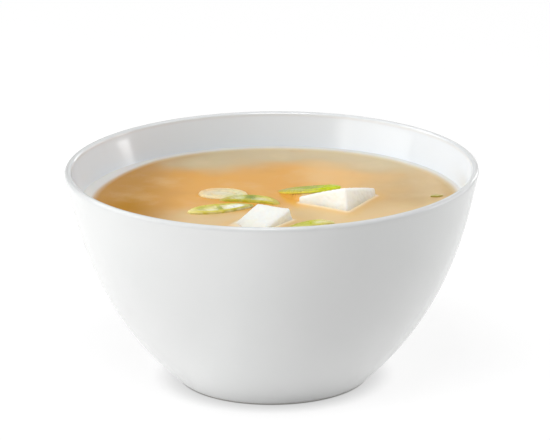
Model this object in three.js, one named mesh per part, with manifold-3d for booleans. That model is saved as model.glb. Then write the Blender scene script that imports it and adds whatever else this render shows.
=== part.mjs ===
// A bowl of miso soup: a round porcelain bowl, the soup that stands in it, two cubes of
// silken tofu and five bias-cut slices of scallion. Millimetres, +Z up, with the origin
// on the table under the middle of the foot. The bowl's axis is Z.
import * as THREE from "three";
import { mergeVertices } from "three/addons/utils/BufferGeometryUtils.js";
import Module from "manifold-3d";

const wasm = await Module();
wasm.setup();

// ---- Driving dimensions -------------------------------------------------------------

const GAP = 0.3; // kept between pieces that touch

const BOWL = {
  rimRadius: 70,
  height: 74,
  lip: 2.25, // thickness of the rounded lip
  footRadius: 31.7,
  footRound: 1.5, // from the resting face to where the wall starts
  outerPull: [[63.3, 27.4], [67, 61.7]], // the two handles of the outer wall's curve
  floor: 5.2, // height of the flat floor inside
  floorRadius: 24,
  innerPull: [[40.8, 5.2], [59.5, 35.4]], // the same for the inner wall, from the floor up
  recessRadius: 26, // the hollow under the foot
  recess: 1.6,
  segments: 60,
};

const SOUP = {
  level: 61.7,
  climb: 1.1, // how far the surface creeps up the wall
  climbWidth: 1.3,
};

// A shred of scallion skin that lies flat on the soup and is fused to it.
const SHRED = { centre: [56, 4.3], halfSize: [2.2, 0.9, 0.55], heading: 12 };

// Each cube: its sides, where its middle is, and its heading, pitch and roll in degrees.
const TOFU = {
  tofu_right: { size: [20.3, 18.9, 16], centre: [23.05, -0.4, 56.64], turn: [56.6, 14.6, -18], seed: 1 },
  tofu_front: { size: [17.6, 14, 16], centre: [-2.7, -23.7, 56.05], turn: [-126.5, 13.5, 4.2], seed: 4 },
};
const TOFU_EDGE = 0.9; // radius of a cut edge
const TOFU_WOBBLE = 0.2; // how far a cut face strays from flat
const TOFU_STEPS = 6; // faces along a side, the outermost two of them on the rounded edges

// Each slice is a pointed oval with a raised skin. ridges are the raised rings as shares
// of the radius. bars are the walls that cross it, each its distance along the slice and
// its width. wedge is how much thicker the far side is, curl lifts the tips, bow bends
// the slice in plan, wave lifts one half and lowers the other, blunt widens the near end
// of its length, and point sharpens both tips. against names the piece that carries it or
// overlies its edge, to which it gives way.
const SCALLION = {
  scallion_on_tofu: {
    length: 26.7, width: 8, thickness: 2.1, wedge: 1.6, curl: 0.4, bow: 0, wave: 0,
    ridges: [[0.66, 1], [0.24, 0.4]], bars: [[-4.6, 0.8]], blunt: 0, point: 0.25,
    centre: [12.9, 3.75, 64.4], turn: [-37, -12.9, -14], against: "tofu_right",
  },
  scallion_left: {
    length: 23.3, width: 7.4, thickness: 2.3, wedge: 0, curl: 0.15, bow: 0, wave: 0,
    ridges: [[0.68, 1]], bars: [[-5.4, 0.8], [-0.2, 1.4]], blunt: 0.25, point: 0.2,
    centre: [-17.3, -9.2, 61.65], turn: [18, 0, 2],
  },
  scallion_middle: {
    length: 21.5, width: 7.6, thickness: 2.1, wedge: 0, curl: -0.1, bow: 3, wave: 0,
    ridges: [[0.7, 1]], bars: [[-2.4, 2.8]], blunt: 0, point: 0.15,
    centre: [-7.5, -0.6, 61.6], turn: [-14, 0, -2],
  },
  scallion_pale: {
    length: 17, width: 11.5, thickness: 1.9, wedge: 0, curl: 0.1, bow: 0, wave: 0,
    ridges: [[0.78, 1], [0.36, 0.46]], bars: [], blunt: 0, point: 0.05,
    centre: [-16.6, 8.6, 61.3], turn: [-4, 1.5, 2], against: "scallion_middle",
  },
  scallion_front: {
    length: 17.2, width: 7, thickness: 2.2, wedge: 0, curl: -0.2, bow: 1.2, wave: 0.5,
    ridges: [[0.66, 1]], bars: [[1.5, 1.2]], blunt: 0, point: 0.2,
    centre: [12.4, -29.4, 61.65], turn: [12, -2, -3],
  },
};
const SLICE_STEPS = 28; // faces round a slice
const RIDGE_DEPTH = 0.55; // from the top of the skin to the flesh inside it

// ---- Shared shapes ------------------------------------------------------------------

const vector = ([x, y]) => new THREE.Vector2(x, y);

// A closed mesh as a manifold-3d solid, and back.
function solidOf(geometry) {
  const bare = geometry.clone();
  bare.deleteAttribute("normal");
  bare.deleteAttribute("uv");
  const merged = mergeVertices(bare, 1e-4);
  const triVerts = new Uint32Array(merged.index.array);
  const vertProperties = new Float32Array(merged.attributes.position.array);
  return new wasm.Manifold(new wasm.Mesh({ numProp: 3, vertProperties, triVerts }));
}

function geometryOf(solid) {
  const { numProp, numVert, vertProperties, triVerts } = solid.getMesh();
  const positions = new Float32Array(numVert * 3);
  for (let i = 0; i < numVert; i++) {
    positions.set(vertProperties.subarray(i * numProp, i * numProp + 3), i * 3);
  }
  const geometry = new THREE.BufferGeometry();
  geometry.setAttribute("position", new THREE.BufferAttribute(positions, 3));
  geometry.setIndex(new THREE.BufferAttribute(new Uint32Array(triVerts), 1));
  geometry.computeVertexNormals();
  return geometry;
}

// A profile of (radius, height) points turned round the Z axis.
function turned(profile, segments) {
  const geometry = new THREE.LatheGeometry(profile.map(vector), segments);
  return geometry.rotateX(Math.PI / 2);
}

function movePoints(geometry, move) {
  const position = geometry.attributes.position;
  const point = new THREE.Vector3();
  for (let i = 0; i < position.count; i++) {
    point.fromBufferAttribute(position, i);
    move(point);
    position.setXYZ(i, point.x, point.y, point.z);
  }
  return geometry;
}

// Heading turns a piece about Z, then pitch about its own Y, then roll about its own X.
function placed(geometry, { centre, turn }) {
  const [heading, pitch, roll] = turn.map(THREE.MathUtils.degToRad);
  const matrix = new THREE.Matrix4().makeRotationFromEuler(new THREE.Euler(roll, pitch, heading, "ZYX"));
  return geometry.applyMatrix4(matrix.setPosition(...centre));
}

// ---- Bowl ---------------------------------------------------------------------------

const lipRadius = BOWL.lip / 2;
const lipHeight = BOWL.height - lipRadius;
const outerWall = new THREE.CubicBezierCurve(
  vector([BOWL.footRadius, 0]),
  ...BOWL.outerPull.map(vector),
  vector([BOWL.rimRadius, lipHeight]),
);
const innerWall = new THREE.CubicBezierCurve(
  vector([BOWL.floorRadius, BOWL.floor]),
  ...BOWL.innerPull.map(vector),
  vector([BOWL.rimRadius - BOWL.lip, lipHeight]),
);

// One closed profile: under the foot, up the outside, over the lip and down the inside.
function bowlGeometry() {
  const { rimRadius, footRadius, footRound, floor, recessRadius, recess, segments } = BOWL;
  const wallStart = footRound / (3 * Math.hypot(BOWL.outerPull[0][0] - footRadius, BOWL.outerPull[0][1]));
  const footEdge = new THREE.QuadraticBezierCurve(
    vector([footRadius - footRound / 2, 0]),
    vector([footRadius, 0]),
    outerWall.getPoint(wallStart),
  );
  const lip = new THREE.EllipseCurve(rimRadius - lipRadius, lipHeight, lipRadius, lipRadius, 0, Math.PI);
  const steps = (count, at) => Array.from({ length: count }, (_, i) => at((i + 1) / count).toArray());
  const profile = [
    [0, recess],
    [recessRadius - recess / 2, recess],
    [recessRadius, 0],
    [footRadius - footRound / 2, 0],
    ...steps(2, (t) => footEdge.getPoint(t)),
    ...steps(14, (t) => outerWall.getPoint(wallStart + t * (1 - wallStart))),
    ...steps(6, (t) => lip.getPoint(t)),
    ...steps(12, (t) => innerWall.getPoint(1 - t)),
    [0, floor],
  ];
  return turned(profile, segments);
}

// ---- Tofu ---------------------------------------------------------------------------

// A cut cube: flat sides with rounded edges, each a little uneven as a soft curd is.
function tofuGeometry({ size, seed, ...place }, grow = 0) {
  const half = size.map((side) => side / 2 + grow);
  const flat = half.map((reach) => reach - TOFU_EDGE);
  const inner = (2 * TOFU_STEPS) / (TOFU_STEPS - 2);
  const onSide = (share, axis) => {
    const reach = Math.abs(share) === 0.5 ? half[axis] : Math.abs(share) * inner * flat[axis];
    return Math.sign(share) * reach;
  };
  const geometry = new THREE.BoxGeometry(1, 1, 1, TOFU_STEPS, TOFU_STEPS, TOFU_STEPS);
  const core = new THREE.Vector3();
  const wobble = new THREE.Vector3();
  movePoints(geometry, (point) => {
    wobble.set(
      Math.sin(5 * point.y + 4 * point.z + seed),
      Math.sin(5 * point.z - 4 * point.x + 2 * seed),
      Math.sin(4 * point.x + 5 * point.y + 3 * seed),
    );
    point.set(onSide(point.x, 0), onSide(point.y, 1), onSide(point.z, 2));
    core.set(...point.toArray().map((value, axis) => THREE.MathUtils.clamp(value, -flat[axis], flat[axis])));
    point.sub(core).setLength(TOFU_EDGE).add(core).addScaledVector(wobble, TOFU_WOBBLE);
  });
  return placed(geometry, place);
}

// ---- Scallion -----------------------------------------------------------------------

// The face of a slice from its rim to its middle, as (share of radius, depth) points:
// each ridge has a rounded top and falls to the flesh on both sides.
function slicePoints(ridges) {
  const points = [];
  for (const [inner, outer] of ridges) {
    const round = (outer - inner) * 0.28;
    const outerFoot = outer === 1 ? 0.4 : RIDGE_DEPTH;
    points.push([outer, outerFoot], [outer - round, 0], [inner + round, 0.05], [inner, RIDGE_DEPTH]);
  }
  return [...points, [0, RIDGE_DEPTH]];
}

// One slice lies along its own X, with its middle at the origin.
function sliceSolid(slice, grow = 0) {
  const { length, width, thickness, wedge, curl, bow, wave, ridges, bars, blunt, point: sharpness } = slice;
  const halfLength = length / 2 + grow;
  const halfWidth = width / 2 + grow;
  const top = thickness / 2 + grow;
  const face = grow ? [[1, 0], [0, 0]] : slicePoints(ridges);
  const profile = [
    [0, -top],
    [0.86, -top],
    [1, -top * 0.5],
    ...face.map(([share, depth]) => [share, top - depth]),
  ];
  const bend = (point) => {
    const along = point.x / halfLength;
    if (point.z > 0) point.z += (wedge * point.y) / width;
    point.z += curl * along * along + wave * Math.sin((Math.PI * along) / 2);
    point.y += bow * (1 - along * along);
  };
  const oval = (point) => {
    const sine = Math.abs(point.y) / Math.max(Math.hypot(point.x, point.y), 1e-9);
    point.y *= halfWidth * sine ** sharpness * (1 - blunt * point.x);
    point.x *= halfLength;
    bend(point);
  };
  let solid = solidOf(movePoints(turned(profile, SLICE_STEPS), oval));
  for (const [at, barWidth] of grow ? [] : bars) {
    const reach = width * Math.sqrt(1 - (at / halfLength) ** 2) - 1.4;
    const bar = new THREE.BoxGeometry(barWidth, reach, thickness - 0.7, 1, 4, 1);
    solid = solid.add(solidOf(movePoints(bar.translate(at, 0, 0.25), bend)));
  }
  return solidOf(placed(geometryOf(solid), slice));
}

// Any piece of garnish by its name, grown on all sides to cut room for it.
function pieceSolid(name, grow) {
  return name in TOFU ? solidOf(tofuGeometry(TOFU[name], grow)) : sliceSolid(SCALLION[name], grow);
}

// ---- Soup ---------------------------------------------------------------------------

// How far along the inner wall's curve a height is.
function wallAt(height) {
  let low = 0;
  let high = 1;
  for (let i = 0; i < 40; i++) {
    const middle = (low + high) / 2;
    if (innerWall.getPoint(middle).y < height) low = middle;
    else high = middle;
  }
  return low;
}

// The point of the inner wall's curve at t, moved into the bowl by the gap.
function insideWall(t) {
  const tangent = innerWall.getTangent(t);
  return innerWall.getPoint(t).add(vector([-tangent.y, tangent.x]).multiplyScalar(GAP)).toArray();
}

// The whole body of soup: it fills the bowl up to its level, creeps a little up the wall,
// and has a pocket for each thing that lies in it.
function soupGeometry() {
  const { level, climb, climbWidth } = SOUP;
  const wallSteps = 9;
  const end = wallAt(level + climb);
  const wall = Array.from({ length: wallSteps + 1 }, (_, i) => insideWall((i / wallSteps) * end));
  const [edgeRadius] = wall[wallSteps];
  const surface = [0.5, 1.2, 2.2, 4].map((away) => [
    edgeRadius - away,
    level + climb * Math.exp(-away / climbWidth),
  ]);
  const profile = [[0, BOWL.floor + GAP], ...wall, ...surface, [0, level]];
  const shred = new THREE.IcosahedronGeometry(1, 1).scale(...SHRED.halfSize);
  const shredPlace = { centre: [...SHRED.centre, level], turn: [SHRED.heading, 0, 0] };
  let soup = solidOf(turned(profile, BOWL.segments)).add(solidOf(placed(shred, shredPlace)));
  for (const name of [...Object.keys(TOFU), ...Object.keys(SCALLION)]) soup = soup.subtract(pieceSolid(name, GAP));
  return geometryOf(soup);
}

// ---- The whole ----------------------------------------------------------------------

function finish(colour, roughness) {
  return new THREE.MeshStandardMaterial({ color: colour, roughness, metalness: 0 });
}

const porcelain = finish(0xf3f4f3, 0.15);
const broth = finish(0xd8a25c, 0.12);
const curd = finish(0xf7f4ec, 0.4);
const greenSkin = finish(0x9db32c, 0.35);
const paleFlesh = finish(0xd9dcb4, 0.35);

const group = new THREE.Group();

function addMesh(name, geometry, material) {
  const mesh = new THREE.Mesh(geometry, material);
  mesh.name = name;
  group.add(mesh);
}

addMesh("bowl", bowlGeometry(), porcelain);
addMesh("soup", soupGeometry(), broth);
for (const [name, cube] of Object.entries(TOFU)) addMesh(name, tofuGeometry(cube), curd);
for (const [name, slice] of Object.entries(SCALLION)) {
  let solid = sliceSolid(slice);
  if (slice.against) solid = solid.subtract(pieceSolid(slice.against, GAP));
  addMesh(name, geometryOf(solid), name === "scallion_pale" ? paleFlesh : greenSkin);
}

export default group;
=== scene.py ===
from math import cos, exp, hypot, pi, radians, sin

import bmesh
import bpy
from mathutils import Euler, Matrix, Vector, noise


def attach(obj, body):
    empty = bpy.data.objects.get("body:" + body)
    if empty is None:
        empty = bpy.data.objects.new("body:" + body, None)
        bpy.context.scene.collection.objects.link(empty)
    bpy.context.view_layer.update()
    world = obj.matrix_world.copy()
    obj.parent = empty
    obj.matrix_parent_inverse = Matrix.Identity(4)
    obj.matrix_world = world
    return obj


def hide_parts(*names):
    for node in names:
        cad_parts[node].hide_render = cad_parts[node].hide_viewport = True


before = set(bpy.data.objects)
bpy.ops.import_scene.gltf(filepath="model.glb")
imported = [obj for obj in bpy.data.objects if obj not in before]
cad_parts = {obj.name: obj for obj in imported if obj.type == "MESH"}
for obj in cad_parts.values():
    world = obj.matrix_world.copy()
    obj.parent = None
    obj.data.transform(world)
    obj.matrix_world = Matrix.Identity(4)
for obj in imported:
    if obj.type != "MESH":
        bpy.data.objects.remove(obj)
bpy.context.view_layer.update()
mm = 0.001

# ---- Table, soft boxes and camera ---------------------------------------------------
# The bowl stands on a plain white table in a dark room. Soft boxes light it from the left, from
# above and from the right, and a pale wall behind it shows only in reflections.


def add_node(tree, kind, values=None, **settings):
    """A node with its settings, and its inputs, by name or number, each given a value or a link."""
    node = tree.nodes.new(kind)
    for key, value in settings.items():
        setattr(node, key, value)
    for key, value in (values or {}).items():
        socket = node.inputs[key]
        if isinstance(value, bpy.types.NodeSocket):
            tree.links.new(value, socket)
        else:
            socket.default_value = value
    return node


def reckon(tree, operation, *numbers):
    """The result of one operation on numbers, each a value or a link."""
    return add_node(tree, "ShaderNodeMath", dict(enumerate(numbers)), operation=operation).outputs[0]


def reckon_vector(tree, operation, *vectors):
    """The same for vectors. LENGTH and DOT_PRODUCT give a number."""
    node = add_node(tree, "ShaderNodeVectorMath", dict(enumerate(vectors)), operation=operation)
    return node.outputs["Value" if operation in ("LENGTH", "DOT_PRODUCT") else "Vector"]


def between(tree, value, low, high, to_low=0.0, to_high=1.0):
    """A value's range mapped smoothly to another range."""
    values = {"Value": value, "From Min": low, "From Max": high, "To Min": to_low, "To Max": to_high}
    return add_node(tree, "ShaderNodeMapRange", values, interpolation_type="SMOOTHSTEP").outputs["Result"]


def new_material(name, **finish):
    """A material with one Principled shader, its tree, that shader and its object coordinates."""
    material = bpy.data.materials.new(name)
    material.use_nodes = True
    tree = material.node_tree
    shader = tree.nodes["Principled BSDF"]
    for key, value in finish.items():
        shader.inputs[key.replace("_", " ").title().replace("Ior", "IOR")].default_value = value
    place = tree.nodes.new("ShaderNodeTexCoord").outputs["Object"]
    return material, tree, shader, place


def new_piece(name, vertices, edges, faces):
    """A mesh object in the scene."""
    mesh = bpy.data.meshes.new(name)
    mesh.from_pydata(vertices, edges, faces)
    piece = bpy.data.objects.new(name, mesh)
    bpy.context.scene.collection.objects.link(piece)
    return piece


def soft_box(name, place, aim, size, power):
    """A rectangular light, turned to its aim and hidden from the camera."""
    lamp = bpy.data.lights.new(name, "AREA")
    lamp.shape = "RECTANGLE"
    lamp.size, lamp.size_y = size
    lamp.energy = power
    box = bpy.data.objects.new(name, lamp)
    box.location = place
    box.rotation_euler = (Vector(aim) - Vector(place)).to_track_quat("-Z", "Y").to_euler()
    box.visible_camera = False
    bpy.context.scene.collection.objects.link(box)
    return box


bowl_middle = Vector((0, 0, 0.05))
box_distance = 1.5
boxes = {  # degrees round from the camera's side, degrees up, width and height, power
    "front_top_box": (349, 65, (0.7, 0.7), 14.4),
    "left_box": (288, 14, (1.3, 0.65), 5),
    "left_wide_box": (288, 14, (1.95, 0.65), 6.4),
    "left_narrow_box": (293, 14, (1.3, 0.65), 5.8),
    "left_back_box": (240, 38, (0.7, 0.7), 6),
    "right_box": (90, 52, (0.7, 0.7), 4.4),
    "right_window": (98, 8, (0.26, 0.4), 4),
    "right_back_window": (152, 13, (0.14, 0.5), 1.2),
    "right_back_box": (120, 12, (0.7, 0.7), 3.5),
}
for name, (compass, height, size, power) in boxes.items():
    around, up = radians(compass), radians(height)
    toward = Vector((sin(around) * cos(up), -cos(around) * cos(up), sin(up)))
    box = soft_box(name, bowl_middle + box_distance * toward, bowl_middle, size, power)
    box.visible_glossy = name != "left_box"  # left_box shows in no reflection

back_wall = soft_box("back_wall", place=(0.27, 0.5, 0.35), aim=(0.27, 0, 0.2), size=(0.66, 0.5), power=0.7)
back_wall.visible_diffuse = False

world = bpy.data.worlds.new("dark_room")
bpy.context.scene.world = world
world.use_nodes = True
room = world.node_tree.nodes["Background"]
room.inputs["Color"].default_value = (1, 1, 1, 1)
room.inputs["Strength"].default_value = 0.02

table_reach = 8
# painted shadow: the table's glow fades in a soft ring round the foot and to a dark contact line under its
# edge
shadow_start, shadow_end, shadow_tone = 31 * mm, 43 * mm, 0.68
contact_shadow_start, contact_shadow_end, contact_shadow_tone = 31.3 * mm, 32.6 * mm, 0.16


def table_layer(name, height, base, glow):
    """A square of matt white that glows, with a painted shadow: less glow under the foot and in a soft ring
    round it.
    """
    corners = [(x * table_reach, y * table_reach, height) for x, y in ((-1, -1), (1, -1), (1, 1), (-1, 1))]
    layer = new_piece(name, corners, [], [(0, 1, 2, 3)])
    white, tree, shader, place = new_material(
        name, base_color=(base, base, base, 1), roughness=0.8, specular_ior_level=0,
        emission_color=(1, 1, 1, 1),
    )
    from_middle = reckon_vector(tree, "LENGTH", place)
    # painted shadow in the glow: a soft ring round the foot, and a dark line where the foot stands
    ring = between(tree, from_middle, shadow_start, shadow_end, shadow_tone, 1)
    contact_shadow = between(tree, from_middle, contact_shadow_start, contact_shadow_end, contact_shadow_tone, glow)
    tree.links.new(reckon(tree, "MULTIPLY", ring, contact_shadow), shader.inputs["Emission Strength"])
    layer.data.materials.append(white)
    return layer


table = table_layer("table", height=0, base=0.16, glow=0.86)
table.visible_diffuse = table.visible_shadow = False
bounce = table_layer("table_bounce", height=-0.1 * mm, base=0.5, glow=0.25)
bounce.visible_camera = bounce.visible_glossy = False

camera_distance = 1.5  # from the middle of the bowl
camera_height = radians(17.865)  # above the level of that middle
camera_roll = radians(-0.483)
focus = Vector((0, 0, 0.037))
looked_at = Vector((0.00098, 0, 0.05517))
lens = bpy.data.cameras.new("lens")
lens.sensor_width = 36
lens.lens = 288.26
lens.clip_end = 40
camera = bpy.data.objects.new("camera", lens)
camera.location = focus + camera_distance * Vector((0, -cos(camera_height), sin(camera_height)))
turn_to_bowl = (looked_at - camera.location).to_track_quat("-Z", "Y")
camera.rotation_euler = (turn_to_bowl.to_matrix() @ Matrix.Rotation(camera_roll, 3, "Z")).to_euler()
bpy.context.scene.collection.objects.link(camera)
bpy.context.scene.camera = camera
bpy.context.scene.view_settings.view_transform = "Standard"

# ---- Bowl ---------------------------------------------------------------------------
# A porcelain bowl thrown on a wheel: one thin wall from a foot ring to a rounded lip. It is
# glazed white inside and out, with the foot ring wiped bare so that it doesn't stick in the kiln.

rim_radius, bowl_height, lip = 70 * mm, 74 * mm, 2.25 * mm
foot_radius, foot_round = 31.7 * mm, 1.5 * mm
outer_pull = [(63.3 * mm, 27.4 * mm), (67 * mm, 61.7 * mm)]
floor_height, floor_radius = 5.2 * mm, 24 * mm
inner_pull = [(40.8 * mm, 5.2 * mm), (59.5 * mm, 35.4 * mm)]
recess_radius, recess = 26 * mm, 1.6 * mm
wheel_steps = 240
outer_steps, inner_steps, lip_steps, corner_steps = 64, 60, 18, 8

grey_glaze, white_glaze = (0.835, 0.845, 0.838, 1), (0.855, 0.86, 0.855, 1)
# painted light: the inside is tinted cool to cancel the warm light that the soup throws onto it
inner_glaze_cooled_for_bounce = (0.79, 0.845, 0.91, 1)
# painted shade: the lip is painted darker than the glaze all round, and cooler on its inner side
outer_lip_painted_shade, inner_lip_painted_shade = (0.70, 0.71, 0.71, 1), (0.74, 0.765, 0.79, 1)
bare_clay = (0.74, 0.71, 0.65, 1)


def on_curve(points, share):
    """The point at a share of the way along a Bezier curve of any number of points."""
    points = [Vector(point) for point in points]
    while len(points) > 1:
        points = [a.lerp(b, share) for a, b in zip(points, points[1:])]
    return points[0]


def along_curve(points, steps, start=0.0, end=1.0):
    """Points spaced along such a curve, without the one at its start."""
    return [on_curve(points, start + (end - start) * (i + 1) / steps) for i in range(steps)]


def open_tree(name, **inputs):
    """A Geometry Nodes tree for a mesh, with named inputs of these kinds, and those inputs."""
    tree = bpy.data.node_groups.new(name, "GeometryNodeTree")
    tree.interface.new_socket("Geometry", in_out="INPUT", socket_type="NodeSocketGeometry")
    for label, kind in inputs.items():
        tree.interface.new_socket(label, in_out="INPUT", socket_type=f"NodeSocket{kind}")
    tree.interface.new_socket("Geometry", in_out="OUTPUT", socket_type="NodeSocketGeometry")
    return tree, tree.nodes.new("NodeGroupInput").outputs


def close_tree(tree, shape, material):
    """Ends a tree: its instances are made real, its material is set, and it gives the mesh out."""
    shape = add_node(tree, "GeometryNodeRealizeInstances", {"Geometry": shape}).outputs[0]
    shape = add_node(tree, "GeometryNodeSetMaterial", {"Geometry": shape, "Material": material}).outputs[0]
    tree.links.new(shape, tree.nodes.new("NodeGroupOutput").inputs["Geometry"])
    return tree


def wheel_tree():
    """Turns the profile that a piece holds, as radius and height in X and Y, round the Z axis."""
    tree, given = open_tree("turned_on_a_wheel", Steps="Int", Material="Material")
    rail_radius = 0.1
    profile = add_node(tree, "GeometryNodeMeshToCurve", {"Mesh": given["Geometry"]}).outputs[0]
    moved = {"Geometry": profile, "Translation": (-rail_radius, 0, 0), "Scale": (1, -1, 1)}
    profile = add_node(tree, "GeometryNodeTransform", moved).outputs[0]
    round_rail = {"Resolution": given["Steps"], "Radius": rail_radius}
    rail = add_node(tree, "GeometryNodeCurvePrimitiveCircle", round_rail).outputs[0]
    wall = add_node(tree, "GeometryNodeCurveToMesh", {"Curve": rail, "Profile Curve": profile}).outputs[0]
    wall = add_node(tree, "GeometryNodeMergeByDistance", {"Geometry": wall, "Distance": 1e-6}).outputs[0]
    wall = add_node(tree, "GeometryNodeSetShadeSmooth", {"Geometry": wall}).outputs[0]
    return close_tree(tree, wall, given["Material"])


def facing_out(piece):
    """Closes seams and poles, and turns every face outwards."""
    shape = bmesh.new()
    shape.from_mesh(piece.data)
    bmesh.ops.remove_doubles(shape, verts=shape.verts, dist=1e-7)
    bmesh.ops.dissolve_degenerate(shape, edges=shape.edges, dist=1e-8)
    bmesh.ops.recalc_face_normals(shape, faces=shape.faces)
    shape.to_mesh(piece.data)
    shape.free()


def shaped(piece, tree, **inputs):
    """Runs a piece through a Geometry Nodes tree and keeps the result as its plain mesh."""
    modifier = piece.modifiers.new(tree.name, "NODES")
    modifier.node_group = tree
    for socket in tree.interface.items_tree:
        if socket.in_out == "INPUT" and socket.name in inputs:
            modifier[socket.identifier] = inputs[socket.name]
    graph = bpy.context.evaluated_depsgraph_get()
    graph.update()
    plain = bpy.data.meshes.new_from_object(piece.evaluated_get(graph), depsgraph=graph)
    piece.modifiers.remove(modifier)
    piece.data = plain
    facing_out(piece)
    return piece


def turned(name, profile, material):
    """A piece turned from its profile, radii with heights that start and end on the axis."""
    vertices = [(radius, height, 0) for radius, height in profile]
    edges = [(i, i + 1) for i in range(len(profile) - 1)]
    piece = new_piece(name, vertices, edges, [])
    return shaped(piece, wheel, Steps=wheel_steps, Material=material)


def axis_of(tree, vector, letter):
    """One of the three numbers of a vector."""
    return add_node(tree, "ShaderNodeSeparateXYZ", {"Vector": vector}).outputs[letter]


def cloud(tree, place, scale, detail=3, roughness=0.5, output="Fac"):
    """Soft noise from 0 to 1 at a scale given in lumps to the metre."""
    values = {"Vector": place, "Scale": scale, "Detail": detail, "Roughness": roughness}
    return add_node(tree, "ShaderNodeTexNoise", values).outputs[output]


def mixed(tree, share, first, second, blend="MIX"):
    """One colour turning into another by a share."""
    values = {0: share, 6: first, 7: second}
    return add_node(tree, "ShaderNodeMix", values, data_type="RGBA", blend_type=blend).outputs[2]


def low_relief(tree, shader, height, strength, depth):
    """Fine bumps that only shade the surface."""
    bump = add_node(tree, "ShaderNodeBump", {"Height": height, "Strength": strength, "Distance": depth})
    tree.links.new(bump.outputs[0], shader.inputs["Normal"])


glaze, tree, shader, place = new_material("glazed_porcelain", ior=1.5)
height = axis_of(tree, place, "Z")
bare_foot = between(tree, height, 0.9 * mm, 0.3 * mm)
on_lip = between(tree, height, 72.2 * mm, 73.4 * mm)
facing = add_node(tree, "ShaderNodeTexCoord").outputs["Normal"]
outwards = reckon_vector(tree, "NORMALIZE", reckon_vector(tree, "MULTIPLY", place, (1, 1, 0)))
inside = between(tree, reckon_vector(tree, "DOT_PRODUCT", facing, outwards), -0.1, -0.7)
tone = between(tree, cloud(tree, place, 22), 0.35, 0.65)
white = mixed(tree, tone, grey_glaze, white_glaze)
# the inner wall gets the painted cool tint against the soup's warm bounce light
white = mixed(tree, inside, white, inner_glaze_cooled_for_bounce)
# painted shade on the lip, darker outside and cooler inside
white = mixed(tree, on_lip, white, mixed(tree, inside, outer_lip_painted_shade, inner_lip_painted_shade))
tree.links.new(mixed(tree, bare_foot, white, bare_clay), shader.inputs["Base Color"])
sheen = between(tree, cloud(tree, place, 45), 0.3, 0.7, 0.18, 0.26)
sheen = reckon(tree, "MULTIPLY_ADD", inside, -0.1, sheen)  # the inner wall is the smoother one
tree.links.new(reckon(tree, "MAXIMUM", sheen, bare_foot), shader.inputs["Roughness"])
ripple = cloud(tree, place, 70, detail=2)
grain = cloud(tree, place, 2500, detail=2)
low_relief(tree, shader, mixed(tree, bare_foot, ripple, grain), strength=0.1, depth=0.3 * mm)

wheel = wheel_tree()
lip_radius = lip / 2
lip_height = bowl_height - lip_radius
lip_middle = Vector((rim_radius - lip_radius, lip_height))
outer_wall = [(foot_radius, 0), *outer_pull, (rim_radius, lip_height)]
inner_wall = [(floor_radius, floor_height), *inner_pull, (rim_radius - lip, lip_height)]
wall_start = foot_round / (3 * hypot(outer_pull[0][0] - foot_radius, outer_pull[0][1]))
foot_edge = [(foot_radius - foot_round / 2, 0), (foot_radius, 0), on_curve(outer_wall, wall_start)]
recess_corner = [(recess_radius - recess, recess), (recess_radius, recess), (recess_radius, 0)]

profile = [(0, recess), *[(recess_radius * share, recess) for share in (0.3, 0.6, 0.85)]]
profile += [recess_corner[0], *along_curve(recess_corner, corner_steps)]
profile += [foot_edge[0], *along_curve(foot_edge, corner_steps)]
profile += along_curve(outer_wall, outer_steps, wall_start)
for i in range(lip_steps):
    bend = pi * (i + 1) / lip_steps
    profile.append(lip_middle + lip_radius * Vector((cos(bend), sin(bend))))
profile += along_curve(inner_wall, inner_steps, 1, 0)
profile += [(floor_radius * share, floor_height) for share in (0.75, 0.5, 0.25, 0)]
bowl = turned("glazed_bowl", profile, glaze)
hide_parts("bowl")
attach(bowl, "root")

# ---- Tofu ---------------------------------------------------------------------------
# Two cubes cut from a block of silken tofu. The curd is white and soft, so the cut faces are a
# little uneven, the edges are rounded, and the soup tints them just above its surface.

soup_level = 61.7 * mm
cubes = {  # in millimetres and degrees, with a seed for the unevenness
    "right": {
        "size": (20.3, 18.9, 16), "centre": (23.05, -0.4, 56.64), "turn": (56.6, 14.6, -18), "seed": 1,
    },
    "front": {
        "size": (17.6, 14, 16), "centre": (-2.7, -23.7, 56.05), "turn": (-126.5, 13.5, 4.2), "seed": 4,
    },
}
tofu_edge = 0.9  # how far the edges are rounded
tofu_wobble = 0.2  # how far a cut face strays from flat
curd_lumps, curd_pits = 0.09, 0.35  # how much the curd swells and how much it is pitted
tofu_steps = 56

white_curd, cream_curd = (0.93, 0.925, 0.875, 1), (0.915, 0.895, 0.83, 1)
soaked_curd = (0.95, 0.87, 0.71, 1)


def place_of(centre, turn):
    """Turns by heading, pitch and roll in degrees, moves to the centre and scales to metres."""
    heading, pitch, roll = (radians(angle) for angle in turn)
    turned_by = Euler((roll, pitch, heading), "XYZ").to_matrix().to_4x4()
    return Matrix.Scale(mm, 4) @ Matrix.Translation(centre) @ turned_by


def tofu_point(point, size, seed):
    """A point of a cube from -0.5 to 0.5 each way, on the cut and rounded curd."""
    half = Vector(size) / 2
    flat = half - Vector((tofu_edge, tofu_edge, tofu_edge))
    across = Vector(point[i] * 2 * half[i] for i in range(3))
    core = Vector(max(-flat[i], min(flat[i], across[i])) for i in range(3))
    x, y, z = (across[i] / flat[i] / 3 for i in range(3))
    wobble = Vector((
        sin(5 * y + 4 * z + seed),
        sin(5 * z - 4 * x + 2 * seed),
        sin(4 * x + 5 * y + 3 * seed),
    ))
    outward = (across - core).normalized()
    curd = noise.noise(across * 0.9 + Vector((seed, 0, 0))) * curd_lumps
    curd -= max(0, noise.noise(across * 2.3 + Vector((0, seed, 0))) - 0.35) * curd_pits
    return core + outward * (tofu_edge + curd) + wobble * tofu_wobble


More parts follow.
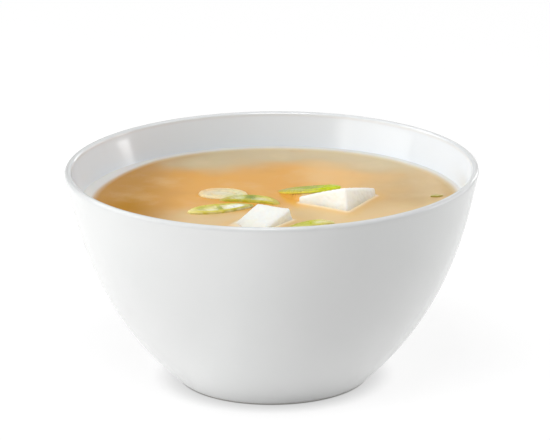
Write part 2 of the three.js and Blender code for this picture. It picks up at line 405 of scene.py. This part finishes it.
silken_tofu, tree, shader, place = new_material(
    "silken_tofu", ior=1.38, subsurface_weight=0.8, subsurface_radius=(1, 0.85, 0.65),
    subsurface_scale=0.005,
)
height = axis_of(tree, place, "Z")
wet_line = reckon(tree, "MULTIPLY_ADD", cloud(tree, place, 260, detail=4), 2.2 * mm, height)
soaked = between(tree, wet_line, soup_level + 3.4 * mm, soup_level + 0.6 * mm)
mottle = between(tree, cloud(tree, place, 420, detail=5), 0.35, 0.7)
white = mixed(tree, mottle, white_curd, cream_curd)
tree.links.new(mixed(tree, soaked, white, soaked_curd), shader.inputs["Base Color"])
tree.links.new(between(tree, cloud(tree, place, 600), 0.3, 0.7, 0.28, 0.5), shader.inputs["Roughness"])
pores = cloud(tree, place, 1500, detail=5, roughness=0.6)
low_relief(tree, shader, pores, strength=0.25, depth=0.2 * mm)

tofu = bpy.data.collections.new("tofu")
for side, cube in cubes.items():
    shape = bmesh.new()
    bmesh.ops.create_cube(shape, size=1)
    bmesh.ops.subdivide_edges(shape, edges=shape.edges, cuts=tofu_steps - 1, use_grid_fill=True)
    for vertex in shape.verts:
        vertex.co = tofu_point(vertex.co, cube["size"], cube["seed"])
    shape.transform(place_of(cube["centre"], cube["turn"]))
    for face in shape.faces:
        face.smooth = True
    block = new_piece(f"silken_cube_{side}", [], [], [])
    shape.to_mesh(block.data)
    shape.free()
    block.data.materials.append(silken_tofu)
    tofu.objects.link(block)
    facing_out(block)
    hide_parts(f"tofu_{side}")
    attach(block, "root")

# ---- Scallion -----------------------------------------------------------------------
# Five slices cut on a steep bias through scallion leaves. Each is a pointed oval: a green skin
# round paler, wet flesh, with the leaf's hollow chambers and the thin walls between them.

# A slice lies along X, in millimetres. wedge is how much thicker it is at one side, curl lifts its
# tips, bow bends it sideways, wave lifts one tip and lowers the other, blunt widens the near end,
# point sharpens both ends and taper thins them. relief is how deep the chambers are. A ridge has
# an inner and an outer edge, as shares of the radius, and a wall has its place along X and its
# width. The colours starting with far_ are those of the far end, at +X. A spot has a middle, a
# reach, a colour and a strength.
slices = {
    "scallion_on_tofu": {
        "length": 26.7, "width": 8, "thickness": 2.1, "wedge": 1.6, "curl": 0.4, "point": 0.25, "taper": 0.6,
        "ridges": [(0.66, 1)],
        "centre": (12.9, 3.75, 64.4), "turn": (-37, -12.9, -14),
        "chamber": (0.52, 0.55, 0.18), "ring": (0.50, 0.48, 0.07), "skin": (0.76, 0.66, 0.08),
        "far_chamber": (0.52, 0.62, 0.02), "far_ring": (0.50, 0.58, 0.01), "far_skin": (0.56, 0.58, 0.02),
        "spots": [
            ((-11, 0.5), (3.4, 3), (0.46, 0.34, 0.06), 0.85),
            ((-6.5, -0.4), (3, 1.4), (0.66, 0.66, 0.44), 0.8),
            ((-2, 2.6), (6, 1.2), (0.27, 0.33, 0.06), 0.7),
        ],
    },
    "scallion_left": {
        "length": 23.3, "width": 7.4, "thickness": 2.3, "curl": 0.15, "blunt": 0.25, "point": 0.2,
        "taper": 0.5, "ridges": [(0.68, 1)], "walls": [(-0.2, 1.4)],
        "centre": (-17.3, -9.2, 61.65), "turn": (18, 0, 2),
        "chamber": (0.80, 0.72, 0.32), "ring": (0.70, 0.62, 0.09), "skin": (0.60, 0.47, 0.005),
        "far_chamber": (0.88, 0.90, 0.82), "far_ring": (0.52, 0.49, 0.03), "far_skin": (0.46, 0.36, 0.005),
        "spots": [
            ((-10.4, 0.3), (2, 2), (0.92, 0.82, 0.40), 0.85),
            ((-0.4, -0.4), (1.2, 1.8), (0.27, 0.32, 0.01), 0.95),
            ((-5.2, 1.9), (3, 0.8), (0.56, 0.58, 0.10), 0.6),
            ((-6.6, 0.7), (1.2, 0.9), (0.42, 0.42, 0.08), 0.7),
            ((-3.4, -0.2), (1.7, 1), (0.86, 0.86, 0.66), 0.85),
            ((5, 0.2), (3.6, 1.3), (0.86, 0.88, 0.80), 0.85),
            ((10.4, 0.6), (2, 2), (0.42, 0.38, 0.04), 0.7),
        ],
    },
    "scallion_middle": {
        "length": 21.5, "width": 7.6, "thickness": 2.1, "curl": -0.1, "bow": 3, "point": 0.15, "taper": 0.6,
        "ridges": [(0.7, 1)], "walls": [(-1.2, 2.4)],
        "centre": (-7.5, -0.6, 61.6), "turn": (-14, 0, -2),
        "chamber": (0.60, 0.62, 0.20), "ring": (0.50, 0.48, 0.05), "skin": (0.54, 0.45, 0.01),
        "far_chamber": (0.66, 0.60, 0.22), "far_ring": (0.58, 0.50, 0.06), "far_skin": (0.52, 0.46, 0.01),
        "spots": [
            ((-5.2, 1.2), (2.4, 1.6), (0.74, 0.74, 0.50), 0.85),
            ((-9, -0.4), (2.6, 2), (0.58, 0.42, 0.08), 0.7),
            ((3, 0.9), (2, 1.1), (0.84, 0.78, 0.58), 0.85),
            ((-0.9, 1), (1.7, 2.4), (0.16, 0.24, 0.005), 0.97),
            ((9, -0.4), (2.6, 2), (0.62, 0.50, 0.10), 0.7),
            ((0, -2.8), (8, 1), (0.52, 0.46, 0.01), 0.85),
        ],
    },
    "scallion_pale": {
        "length": 17, "width": 11.5, "thickness": 1.9, "curl": 0.1, "point": 0.05, "taper": 0.3,
        "relief": 0.25, "ridges": [(0.78, 1), (0.4, 0.54)],
        "centre": (-16.6, 8.6, 61.3), "turn": (-4, 1.5, 2),
        "chamber": (0.78, 0.68, 0.44), "ring": (0.86, 0.68, 0.38), "skin": (0.86, 0.66, 0.34),
        "far_chamber": (0.74, 0.70, 0.42), "far_ring": (0.82, 0.68, 0.36), "far_skin": (0.80, 0.60, 0.26),
        "spots": [
            ((-6, 3.6), (4, 3), (0.84, 0.56, 0.26), 0.8),
            ((-1.5, 1.2), (3.6, 1.8), (0.74, 0.72, 0.58), 0.7),
            ((4, -2.6), (3, 2), (0.64, 0.70, 0.34), 0.75),
            ((-4.5, -3.4), (3.4, 1.2), (0.92, 0.80, 0.48), 0.7),
        ],
    },
    "scallion_front": {
        "length": 17.2, "width": 7, "thickness": 2.2, "curl": -0.2, "bow": 1.2, "wave": 0.5, "point": 0.2,
        "taper": 0.45, "relief": 0.25, "ridges": [(0.66, 1)], "walls": [(1.5, 1.2)],
        "centre": (12.4, -29.4, 61.65), "turn": (12, -2, -3),
        "chamber": (0.58, 0.56, 0.12), "ring": (0.54, 0.48, 0.06), "skin": (0.44, 0.38, 0.02),
        "far_chamber": (0.78, 0.74, 0.32), "far_ring": (0.68, 0.64, 0.14), "far_skin": (0.60, 0.52, 0.10),
        "spots": [
            ((0.8, 0.4), (2.6, 1.8), (0.50, 0.54, 0.01), 0.9),
            ((3.6, 0.4), (1.6, 1), (0.80, 0.78, 0.50), 0.7),
            ((6.6, 0), (2.2, 2), (0.72, 0.60, 0.32), 0.7),
        ],
    },
}
plain_relief = 0.55  # for a slice that gives none
rim_stray, face_stray = 0.03, 0.07  # a share of the radius, and millimetres
slice_turns = 144
face_rings, rim_rings, under_rings = 40, 6, 10


def smooth_step(low, high, value):
    """0 up to low, 1 from high on, and smooth between them."""
    share = max(0, min(1, (value - low) / (high - low)))
    return share * share * (3 - 2 * share)


def ridge_height(cut, share, x):
    """How far the face stands up at a share of the radius, from 0 in a chamber to 1 on a ridge."""
    height = 0
    for inner, outer in cut.get("ridges", ()):
        fall = (outer - inner) * 0.28
        end = outer + fall if outer == 1 else outer  # the skin's ridge is still half up at the rim
        up = smooth_step(inner, inner + fall, share)
        down = 1 - smooth_step(outer - fall, end, share)
        height = max(height, up * down)
    for at, wide in cut.get("walls", ()):
        wall = 1 - smooth_step(wide / 2 - 0.15, wide / 2 + 0.35, abs(x - at))
        height = max(height, 0.8 * wall)
    return height


def tint(cut, x, y, along, ridge, lift):
    """The colour at a point: chamber, ridge or skin, changing towards the far end, with its spots."""
    mottle = noise.noise(Vector((x * 0.7, y * 1.4, cut["length"])))
    far = smooth_step(-0.3, 0.8, along + 0.4 * mottle)
    chamber, ring, skin = (
        Vector(cut[part]).lerp(Vector(cut[f"far_{part}"]), far) for part in ("chamber", "ring", "skin")
    )
    colour = chamber.lerp(ring, smooth_step(0.3, 0.95, ridge + 0.35 * mottle))
    for (middle_x, middle_y), (long, wide), spot, strength in cut.get("spots", ()):
        near = exp(-(((x - middle_x) / long) ** 2) - ((y - middle_y) / wide) ** 2)
        colour = colour.lerp(Vector(spot), strength * near)
    return colour.lerp(skin, 1 - smooth_step(0.4, 0.95, lift))


def slice_point(cut, share, angle, lift):
    """A point of a slice and its colour, from its share of the radius, its angle and its lift, which
    is 0 on the underside and 1 on the face."""
    seed = Vector(cut["centre"])
    ragged = 1 + rim_stray * noise.noise(seed + Vector((cos(angle) * 2, sin(angle) * 2, 0)))
    pointed = abs(sin(angle)) ** cut["point"]
    x = cos(angle) * cut["length"] / 2
    y = sin(angle) * cut["width"] / 2 * pointed * (1 - cut.get("blunt", 0) * cos(angle))
    x *= share * ragged
    y *= share * ragged
    along = 2 * x / cut["length"]
    top = cut["thickness"] / 2 * (1 - cut["taper"] * along**4)
    ridge = ridge_height(cut, share, x)
    face = top - cut.get("relief", plain_relief) * (1 - ridge) * (1 - 0.6 * along * along)
    face += face_stray * noise.noise(seed + Vector((x * 0.8, y * 1.6, 0)))
    z = -top + (face + top) * lift
    colour = tint(cut, x, y, along, ridge, lift)
    if z > 0:
        z += cut.get("wedge", 0) * y / cut["width"]
    z += cut["curl"] * along * along + cut.get("wave", 0) * sin(pi * along / 2)
    y += cut.get("bow", 0) * (1 - along * along)
    return Vector((x, y, z)), colour


def slice_piece(name, cut):
    """Rings of points from the middle of the face, over the rim, to the middle of the underside."""
    rings = [(i / face_rings, 1) for i in range(1, face_rings)]
    for i in range(rim_rings + 1):
        bend = pi * i / rim_rings
        rings.append((0.985 + 0.015 * sin(bend), 0.5 + 0.45 * cos(bend)))
    rings += [(i / under_rings, 0) for i in range(under_rings - 1, 0, -1)]
    points, colours = [], []
    for share, lift in [(0, 1), *rings, (0, 0)]:
        turns = slice_turns if share else 1
        for i in range(turns):
            point, colour = slice_point(cut, share, 2 * pi * i / turns, lift)
            points.append(point)
            colours += [*colour, 1]
    faces = []
    last = len(points) - 1
    for ring in range(len(rings) - 1):
        start = 1 + ring * slice_turns
        for i in range(slice_turns):
            j = (i + 1) % slice_turns
            faces.append((start + i, start + slice_turns + i, start + slice_turns + j, start + j))
    for i in range(slice_turns):
        j = (i + 1) % slice_turns
        faces.append((0, 1 + i, 1 + j))
        faces.append((last, last - slice_turns + j, last - slice_turns + i))
    piece = new_piece(name, points, [], faces)
    mesh = piece.data
    mesh.transform(place_of(cut["centre"], cut["turn"]))
    mesh.attributes.new("tint", "FLOAT_COLOR", "POINT").data.foreach_set("color", colours)
    for face in mesh.polygons:
        face.use_smooth = True
    mesh.materials.append(leaf_green)
    scallion.objects.link(piece)
    facing_out(piece)
    return piece


leaf_green, tree, shader, place = new_material(
    "scallion_leaf", ior=1.28, coat_weight=0.08, coat_roughness=0.12, subsurface_weight=0.25,
    subsurface_radius=(1, 1, 0.4), subsurface_scale=0.0006,
)
flesh = add_node(tree, "ShaderNodeAttribute", attribute_name="tint").outputs["Color"]
stretch = add_node(tree, "ShaderNodeMapping", {"Vector": place, "Scale": (1, 4, 2)}).outputs[0]
fibre = between(tree, cloud(tree, stretch, 450, detail=4), 0.3, 0.7, 0.9, 1.06)
tree.links.new(mixed(tree, 1.0, flesh, fibre, blend="MULTIPLY"), shader.inputs["Base Color"])
tree.links.new(between(tree, cloud(tree, place, 500), 0.3, 0.7, 0.25, 0.42), shader.inputs["Roughness"])
low_relief(tree, shader, fibre, strength=0.2, depth=0.2 * mm)

scallion = bpy.data.collections.new("scallion")
for node, cut in slices.items():
    leaf = slice_piece(f"{node}_leaf", cut)
    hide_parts(node)
    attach(leaf, "root")

# ---- Shred of scallion skin ---------------------------------------------------------
# A scrap of green skin that came off a slice. It has no chambers, so it is nearly flat, and it
# lies wet on the soup near the wall.

shred_cut = {
    "length": 4.4, "width": 1.8, "thickness": 0.9, "curl": 0, "point": 0.5, "taper": 0.3, "relief": 0.05,
    "centre": (56, 4.3, 61.75), "turn": (12, 0, 0),
    "chamber": (0.40, 0.36, 0.08), "ring": (0.40, 0.36, 0.08), "skin": (0.36, 0.30, 0.06),
    "far_chamber": (0.48, 0.40, 0.12), "far_ring": (0.48, 0.40, 0.12), "far_skin": (0.44, 0.34, 0.08),
}
shred = slice_piece("scallion_shred", shred_cut)
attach(shred, "root")

# ---- Soup ---------------------------------------------------------------------------
# Dashi broth with miso stirred in: cloudy, amber where it is thin and paler where the miso
# gathers. Its colour is also painted darker on the left and paler on the right, as painted
# reflection. Its surface creeps up the wall and up whatever stands or floats in it.

soup_climb, climb_width = 1.1 * mm, 1.3 * mm
into_wall = 0.35 * mm
soup_wall_steps = 40
surface_step = 0.45 * mm

amber = (0.73, 0.36, 0.06, 1)
# The zones are partly miso clouds and partly painted reflection: darker and browner on the left, where the
# soup mirrors the shaded left wall, and paler to the right, where it mirrors the lit right wall.
zones = {  # an axis, where along it the zone starts and where it is full, and its colour
    "pale_amber_right": ("X", 2 * mm, 20 * mm, (0.80, 0.48, 0.17, 1)),
    "tan_far_right": ("X", 24 * mm, 48 * mm, (0.51, 0.355, 0.155, 1)),
    "grey_tan_back": ("Y", 32 * mm, 52 * mm, (0.55, 0.45, 0.27, 1)),
    "cream_front_half": ("Y", 2 * mm, -16 * mm, (0.71, 0.51, 0.25, 1)),
    "orange_front": ("Y", -30 * mm, -52 * mm, (0.76, 0.42, 0.11, 1)),
    "brown_left": ("X", -22 * mm, -50 * mm, (0.48, 0.225, 0.02, 1)),
}
zone_strength = 0.92
zone_drift = (35 * mm, 35 * mm, 0)
pale_miso, thin_broth = (0.80, 0.60, 0.34, 1), (0.58, 0.28, 0.05, 1)
# painted light: the soup is painted warmer and paler round the tofu, for the light the submerged tofu
# scatters up through it
lit_by_tofu, tofu_glow_below = (0.88, 0.50, 0.12, 1), (0.94, 0.84, 0.66, 1)
# the wet glaze is painted darker than the glaze, as painted shade on the soup's climbing edge
thin_film, wet_glaze_in_painted_shade = (0.70, 0.63, 0.48, 1), (0.70, 0.70, 0.69, 1)


def soup_tree():
    """Lifts the surface against the garnish, sinks it in the slices and writes how near the tofu is."""
    lengths = (
        "Level", "Tofu Climb", "Tofu Reach", "Leaf Climb", "Leaf Reach",
        "Gap", "Sink", "Glow Reach", "Swell",
    )
    tree, given = open_tree(
        "soup_settled", Tofu="Collection", Scallion="Collection", **dict.fromkeys(lengths, "Float"),
        Material="Material",
    )

    def sum_of(operation, *numbers):
        return reckon(tree, operation, *numbers)

    def fading(distance, reach):
        """1 at the thing itself, fading with the distance from it."""
        return sum_of("POWER", exp(1), sum_of("MULTIPLY", sum_of("DIVIDE", distance, reach), -1))

    place = tree.nodes.new("GeometryNodeInputPosition").outputs[0]
    just_below = sum_of("ADD", given["Level"], -0.2 * mm)
    on_surface = add_node(
        tree, "FunctionNodeCompare", {0: axis_of(tree, place, "Z"), 1: just_below},
        data_type="FLOAT", operation="GREATER_THAN",
    ).outputs[0]
    solids, near = {}, {}
    for label in ("Tofu", "Scallion"):
        found = add_node(tree, "GeometryNodeCollectionInfo", {"Collection": given[label]}).outputs[0]
        solids[label] = add_node(tree, "GeometryNodeRealizeInstances", {"Geometry": found}).outputs[0]
        nearest = add_node(tree, "GeometryNodeProximity", {"Geometry": solids[label]})
        near[label] = nearest.outputs["Distance"]
    aimed = {
        "Target Geometry": solids["Scallion"],
        "Source Position": place,
        "Ray Direction": (0, 0, 1),
        "Ray Length": given["Gap"],
    }
    upwards = add_node(tree, "GeometryNodeRaycast", aimed).outputs
    hit_side = axis_of(tree, upwards["Hit Normal"], "Z")
    in_leaf = sum_of("MULTIPLY", upwards["Is Hit"], sum_of("GREATER_THAN", hit_side, 0))
    under_leaf = sum_of("MULTIPLY", upwards["Is Hit"], sum_of("LESS_THAN", hit_side, 0))
    tofu_rise = sum_of("MULTIPLY", fading(near["Tofu"], given["Tofu Reach"]), given["Tofu Climb"])
    leaf_rise = sum_of("MULTIPLY", fading(near["Scallion"], given["Leaf Reach"]), given["Leaf Climb"])
    rise = sum_of("ADD", tofu_rise, leaf_rise)
    swell = sum_of("ADD", cloud(tree, place, 55, detail=1), -0.5)
    rise = sum_of("ADD", rise, sum_of("MULTIPLY", swell, given["Swell"]))
    rise = sum_of("SUBTRACT", rise, sum_of("MULTIPLY", in_leaf, given["Sink"]))
    wetted = sum_of("MULTIPLY", under_leaf, sum_of("ADD", upwards["Hit Distance"], 0.1 * mm))
    rise = sum_of("MAXIMUM", rise, wetted)
    offset = add_node(tree, "ShaderNodeCombineXYZ", {"Z": rise}).outputs[0]
    moved = {"Geometry": given["Geometry"], "Selection": on_surface, "Offset": offset}
    soup = add_node(tree, "GeometryNodeSetPosition", moved).outputs[0]
    written = {"Geometry": soup, "Name": "near_tofu", "Value": fading(near["Tofu"], given["Glow Reach"])}
    soup = add_node(tree, "GeometryNodeStoreNamedAttribute", written, data_type="FLOAT").outputs[0]
    return close_tree(tree, soup, given["Material"])


broth, tree, shader, place = new_material(
    "miso_broth", ior=1.2, roughness=0.15, subsurface_weight=0.2, subsurface_radius=(1, 0.5, 0.2),
    subsurface_scale=0.004,
)
drift = cloud(tree, place, 30, detail=2, output="Color")
drift = reckon_vector(tree, "SUBTRACT", drift, (0.5, 0.5, 0.5))
drifted = reckon_vector(tree, "MULTIPLY_ADD", drift, zone_drift, place)
colour = amber
for axis, start, full, clouded in zones.values():
    share = between(tree, axis_of(tree, drifted, axis), start, full, 0, zone_strength)
    colour = mixed(tree, share, colour, clouded)
wisps = cloud(tree, place, 60, detail=5, roughness=0.55)
colour = mixed(tree, between(tree, wisps, 0.48, 0.75, 0, 0.22), colour, pale_miso)
colour = mixed(tree, between(tree, wisps, 0.45, 0.25, 0, 0.25), colour, thin_broth)
# painted light from the tofu under the surface
near_tofu = add_node(tree, "ShaderNodeAttribute", attribute_name="near_tofu").outputs["Fac"]
colour = mixed(tree, between(tree, near_tofu, 0.01, 0.25, 0, 0.18), colour, lit_by_tofu)
colour = mixed(tree, between(tree, near_tofu, 0.4, 1.0, 0, 0.75), colour, tofu_glow_below)
from_axis = reckon_vector(tree, "LENGTH", reckon_vector(tree, "MULTIPLY", place, (1, 1, 0)))
# painted shade: the darker wet-glaze band reaches 2.4 mm further on the left, for the grey shade above the
# soup's edge
shade_band_wider_at_left = between(tree, axis_of(tree, place, "X"), -38 * mm, -58 * mm, 0, 2.4 * mm)
from_axis = reckon(tree, "ADD", from_axis, shade_band_wider_at_left)
colour = mixed(tree, between(tree, from_axis, 61.6 * mm, 63.6 * mm, 0, 0.4), colour, thin_film)
colour = mixed(tree, between(tree, from_axis, 63 * mm, 64.8 * mm, 0, 0.9), colour, wet_glaze_in_painted_shade)
tree.links.new(colour, shader.inputs["Base Color"])


def share_at(height):
    """How far along the inner wall's curve, from the floor up, a height is."""
    low, high = 0.0, 1.0
    for _ in range(40):
        middle = (low + high) / 2
        if on_curve(inner_wall, middle)[1] < height:
            low = middle
        else:
            high = middle
    return low


wet_share = share_at(soup_level + soup_climb)
against_wall = []
for i in range(soup_wall_steps + 1):
    share = wet_share * i / soup_wall_steps
    here = on_curve(inner_wall, share)
    ahead = on_curve(inner_wall, share + 1e-3) - here
    against_wall.append(here + Vector((ahead[1], -ahead[0])).normalized() * into_wall)
edge_radius = against_wall[-1][0]
surface = []
rings = int(edge_radius / surface_step)
for i in range(1, rings + 1):
    radius = edge_radius * (1 - i / rings)
    surface.append((radius, soup_level + soup_climb * exp(-(edge_radius - radius) / climb_width)))
profile = [(0, floor_height - into_wall), *against_wall, *surface]
soup = turned("miso_soup", profile, broth)
settled = {
    "Tofu": tofu,
    "Scallion": scallion,
    "Level": soup_level,
    "Tofu Climb": 0.5 * mm,
    "Tofu Reach": 0.8 * mm,
    "Leaf Climb": 0.2 * mm,
    "Leaf Reach": 0.6 * mm,
    "Gap": 3.2 * mm,  # the widest gap under a slice that the soup still fills
    "Sink": 0.7 * mm,  # how far the surface sinks inside a slice
    "Glow Reach": 1.9 * mm,
    "Swell": 0.12 * mm,
    "Material": broth,
}
shaped(soup, soup_tree(), **settled)
bpy.data.collections.remove(tofu)
bpy.data.collections.remove(scallion)
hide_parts("soup")
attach(soup, "root")
